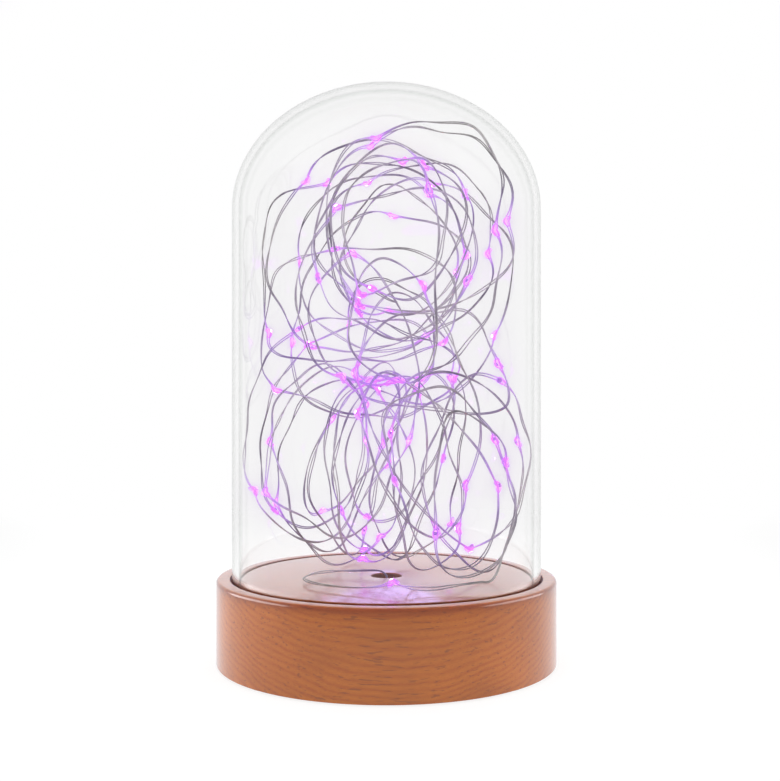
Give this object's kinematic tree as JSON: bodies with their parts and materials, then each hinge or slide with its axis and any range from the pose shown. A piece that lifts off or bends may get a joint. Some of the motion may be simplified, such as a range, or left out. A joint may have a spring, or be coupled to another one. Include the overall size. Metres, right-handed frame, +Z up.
{
  "type": "glass cloche light",
  "caption": "Glass dome on a turned wooden base with a hidden battery housing; a long LED string is looped loosely inside, and the dome lifts off.",
  "frame": {"origin": "centre of the base at the underside of the foot pads", "axes": "+Z up along the dome's axis, -Y towards the viewer of the picture, +X to their right"},
  "size_m": [0.12, 0.12, 0.203],
  "materials": {
    "beech": "satin",
    "pad_rubber": "matte",
    "housing_plastic": "fine texture",
    "screw_steel": "plated",
    "door_plastic": "fine texture",
    "cell_case": "plain wrapped can",
    "contact_metal": "plated",
    "board_laminate": "solder mask",
    "chip_plastic": "moulded",
    "capacitor_can": "sleeved",
    "knob_plastic": "moulded",
    "red_insulation": "satin",
    "black_insulation": "satin",
    "sleeve_plastic": "satin",
    "string_wire": "tinned and lacquered",
    "led_resin": "clear drop, lit",
    "led_chip": "lit",
    "clear_glass": "clear and polished"
  },
  "bodies": {
    "base": {"wood_base": "beech", "foot_pads": "pad_rubber", "bottom_housing": "housing_plastic", "housing_screws": "screw_steel", "aa_cell_1": "cell_case", "aa_cell_2": "cell_case", "aa_cell_3": "cell_case", "battery_springs": "contact_metal", "contact_plates": "contact_metal", "control_board": "board_laminate", "board_screws": "screw_steel", "driver_chip": "chip_plastic", "board_resistors": "chip_plastic", "board_capacitor": "capacitor_can", "switch_body": "contact_metal", "switch_pins": "contact_metal", "red_lead": "red_insulation", "black_lead": "black_insulation", "string_sleeve": "sleeve_plastic", "string_lead": "string_wire", "string_run": "string_wire", "front_loops": "string_wire", "rear_loops": "string_wire", "led_drops": "led_resin", "led_chips": "led_chip"},
    "dome": {"glass_dome": "clear_glass"},
    "door": {"battery_door": "door_plastic"},
    "knob": {"switch_knob": "knob_plastic"}
  },
  "joints": [
    {"name": "dome_lift", "type": "slide", "parent": "base", "child": "dome", "axis": [0, 0, 1], "range_m": [0, 0.18]},
    {"name": "door_hinge", "type": "hinge", "parent": "base", "child": "door", "pos_m": [0, 0.0277, 0.0024], "axis": [1, 0, 0], "range_deg": [0, 100]},
    {"name": "switch_slide", "type": "slide", "parent": "base", "child": "knob", "axis": [1, 0, 0], "range_m": [-0.002, 0]}
  ]
}
